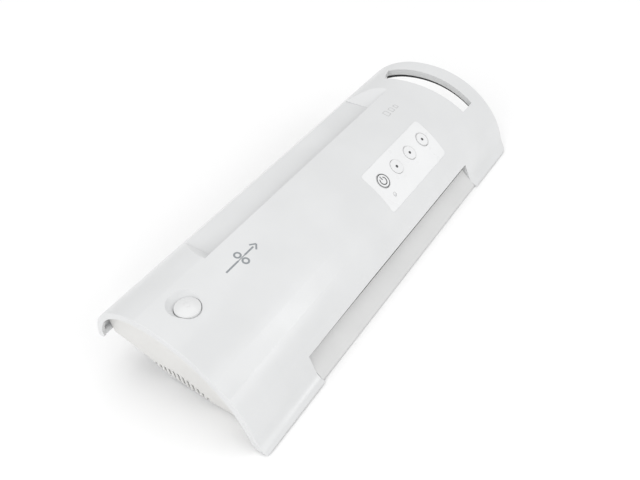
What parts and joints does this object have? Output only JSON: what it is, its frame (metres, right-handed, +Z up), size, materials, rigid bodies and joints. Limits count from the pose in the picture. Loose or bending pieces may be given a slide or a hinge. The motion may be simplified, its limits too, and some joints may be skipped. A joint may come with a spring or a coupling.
{
  "type": "pouch laminator",
  "caption": "Desktop A4 pouch laminator with arched plastic casing, rear entry, front exit, carrying slot, push keys, release button and geared hot rollers.",
  "frame": {"origin": "middle of the footprint's bounding box, on the table under the feet", "axes": "+X along the machine towards the carrying slot, -Y towards the side where the pouch comes out, +Z up"},
  "size_m": [0.387, 0.1346, 0.0694],
  "materials": {
    "casing": "moulded, fine satin grain",
    "panel": "moulded, fine satin grain, slightly warm",
    "base": "moulded, fine grain",
    "grip": "dark moulded liner",
    "overlay": "printed film, satin",
    "key": "moulded, satin gloss",
    "button": "moulded, satin gloss",
    "lens": "diffusing lens",
    "rubber": "matt",
    "steel": "bright zinc plated",
    "spring_steel": "drawn wire",
    "aluminium": "extruded",
    "bronze": "sintered, oiled",
    "silicone": "ground silicone",
    "acetal": "natural acetal",
    "black_plastic": "moulded",
    "heat_plastic": "heat resistant moulding",
    "motor_metal": "plated can",
    "board_green": "solder mask",
    "coil_wrap": "varnished"
  },
  "bodies": {
    "housing": {"top_shell": "casing", "base_shell": "base", "left_end_panel": "panel", "right_end_panel": "panel", "handle_grip": "grip", "control_overlay": "overlay", "indicator_lens": "lens", "rubber_feet": "rubber", "casing_screws": "steel", "cord_gland": "black_plastic", "tact_switches": "black_plastic", "control_board": "board_green", "release_spring": "spring_steel", "lever_bracket": "steel", "lever_pin": "steel", "drive_motor": "motor_metal", "gear_studs": "steel", "left_frame_plate": "steel", "right_frame_plate": "steel", "tie_bars": "steel", "lower_bushes": "bronze", "upper_bushes": "bronze", "pressure_springs": "spring_steel", "frame_screws": "steel", "upper_heater_plate": "aluminium", "lower_heater_plate": "aluminium", "heater_elements": "heat_plastic", "heater_holders": "heat_plastic", "thermostat": "motor_metal", "entry_guides": "heat_plastic", "exit_guides": "heat_plastic", "main_board": "board_green", "board_screws": "steel", "transformer": "coil_wrap", "board_parts": "black_plastic"},
    "power_key_body": {"power_key": "key"},
    "left_mode_key_body": {"left_mode_key": "key"},
    "middle_mode_key_body": {"middle_mode_key": "key"},
    "right_mode_key_body": {"right_mode_key": "key"},
    "button": {"release_button": "button"},
    "lever": {"release_lever": "black_plastic"},
    "collar": {"shift_collar": "acetal"},
    "clutch": {"clutch_gear": "acetal"},
    "hot_lower": {"hot_lower_shaft": "steel", "hot_lower_roller": "silicone", "hot_lower_gear": "acetal"},
    "hot_upper": {"hot_upper_shaft": "steel", "hot_upper_roller": "silicone", "hot_upper_gear": "acetal"},
    "pull_lower": {"pull_lower_shaft": "steel", "pull_lower_roller": "silicone", "pull_lower_gear": "acetal"},
    "pull_upper": {"pull_upper_shaft": "steel", "pull_upper_roller": "silicone", "pull_upper_gear": "acetal"},
    "idler": {"transfer_gear": "acetal"},
    "motor_rotor": {"motor_pinion": "acetal", "motor_shaft": "steel"}
  },
  "joints": [
    {"name": "power_key_press", "type": "slide", "parent": "housing", "child": "power_key_body", "axis": [0, 0.5677, -0.8232], "range_m": [0, 0.0006], "stiffness_N_per_m": 600, "springref_m": -0.0005},
    {"name": "left_mode_key_press", "type": "slide", "parent": "housing", "child": "left_mode_key_body", "axis": [0, 0.5677, -0.8232], "range_m": [0, 0.0006], "stiffness_N_per_m": 600, "springref_m": -0.0005},
    {"name": "middle_mode_key_press", "type": "slide", "parent": "housing", "child": "middle_mode_key_body", "axis": [0, 0.5677, -0.8232], "range_m": [0, 0.0006], "stiffness_N_per_m": 600, "springref_m": -0.0005},
    {"name": "right_mode_key_press", "type": "slide", "parent": "housing", "child": "right_mode_key_body", "axis": [0, 0.5677, -0.8232], "range_m": [0, 0.0006], "stiffness_N_per_m": 600, "springref_m": -0.0005},
    {"name": "release_press", "type": "slide", "parent": "housing", "child": "button", "axis": [0, 0, -1], "range_m": [0, 0.0035], "stiffness_N_per_m": 300, "springref_m": -0.003, "deforming": ["release_spring"]},
    {"name": "release_lever_turn", "type": "hinge", "parent": "housing", "child": "lever", "pos_m": [-0.1805, 0.0132, 0.048], "axis": [0, 1, 0], "range_deg": [0, 13.5]},
    {"name": "clutch_shift", "type": "slide", "parent": "housing", "child": "collar", "axis": [-1, 0, 0], "range_m": [0, 0.0058]},
    {"name": "hot_lower_spin", "type": "hinge", "parent": "housing", "child": "hot_lower", "pos_m": [-0.148, -0.00183, 0.02587], "axis": [1, 0, 0], "continuous": true},
    {"name": "hot_upper_spin", "type": "hinge", "parent": "housing", "child": "hot_upper", "pos_m": [-0.148, -0.01077, 0.03913], "axis": [1, 0, 0], "continuous": true},
    {"name": "transfer_gear_spin", "type": "hinge", "parent": "housing", "child": "idler", "pos_m": [-0.148, -0.01257, 0.0154], "axis": [1, 0, 0], "continuous": true},
    {"name": "pull_lower_spin", "type": "hinge", "parent": "housing", "child": "pull_lower", "pos_m": [-0.148, -0.02535, 0.01783], "axis": [1, 0, 0], "continuous": true},
    {"name": "pull_upper_spin", "type": "hinge", "parent": "housing", "child": "pull_upper", "pos_m": [-0.148, -0.02925, 0.02917], "axis": [1, 0, 0], "continuous": true},
    {"name": "clutch_gear_spin", "type": "hinge", "parent": "collar", "child": "clutch", "pos_m": [-0.148, 0.01751, 0.02076], "axis": [1, 0, 0], "continuous": true},
    {"name": "motor_spin", "type": "hinge", "parent": "housing", "child": "motor_rotor", "pos_m": [-0.148, 0.0297, 0.034], "axis": [1, 0, 0], "continuous": true}
  ],
  "couplings": [
    {"joint": "release_lever_turn", "follows": "release_press", "rad_per_m": 66.667},
    {"joint": "clutch_shift", "follows": "release_press", "ratio": 1.6286},
    {"joint": "hot_upper_spin", "follows": "hot_lower_spin", "ratio": -1},
    {"joint": "transfer_gear_spin", "follows": "hot_lower_spin", "ratio": -1.1429},
    {"joint": "pull_lower_spin", "follows": "hot_lower_spin", "ratio": 1.3333},
    {"joint": "pull_upper_spin", "follows": "hot_lower_spin", "ratio": -1.3333},
    {"joint": "clutch_gear_spin", "follows": "hot_lower_spin", "ratio": -0.66667},
    {"joint": "motor_spin", "follows": "hot_lower_spin", "ratio": 1.3333}
  ]
}
